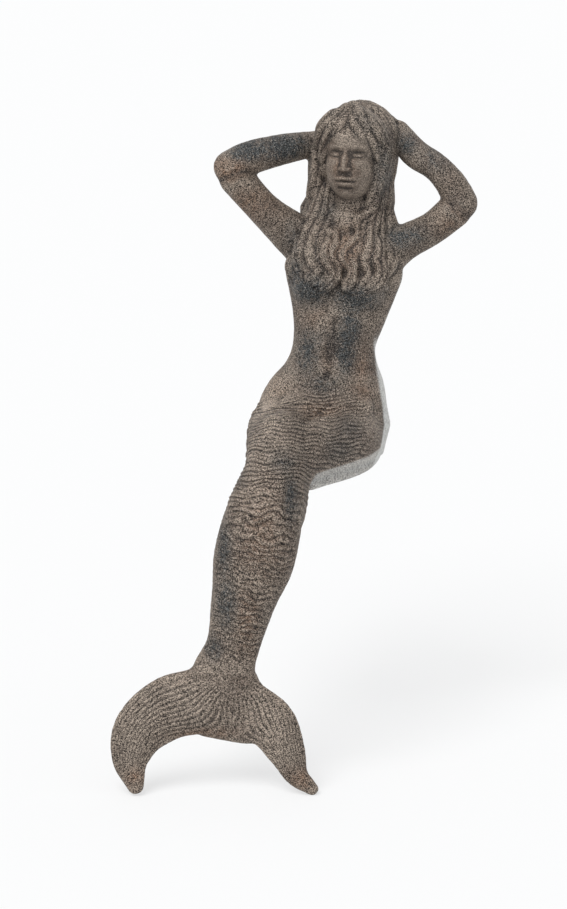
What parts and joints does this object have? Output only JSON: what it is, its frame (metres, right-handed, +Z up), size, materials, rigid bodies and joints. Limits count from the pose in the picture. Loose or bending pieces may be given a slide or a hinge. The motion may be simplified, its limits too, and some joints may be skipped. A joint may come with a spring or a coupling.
{
  "type": "mermaid figurine",
  "caption": "Cast-iron mermaid for a shelf's edge: a solid casting with hands behind the head, wavy hair, a flat seat under scaled thighs, and a tail that hangs down to a forked fin.",
  "frame": {"origin": "on the flat seat, under the middle of the hips", "axes": "+X to the viewer's right, -Y to the front that she faces, +Z up; the seat faces -Z"},
  "size_m": [0.1532, 0.1295, 0.2729],
  "materials": {
    "cast_iron": "rough sand-cast, with brown rust and darker bare patches"
  },
  "bodies": {
    "root": {"mermaid_casting": "cast_iron"}
  },
  "joints": []
}
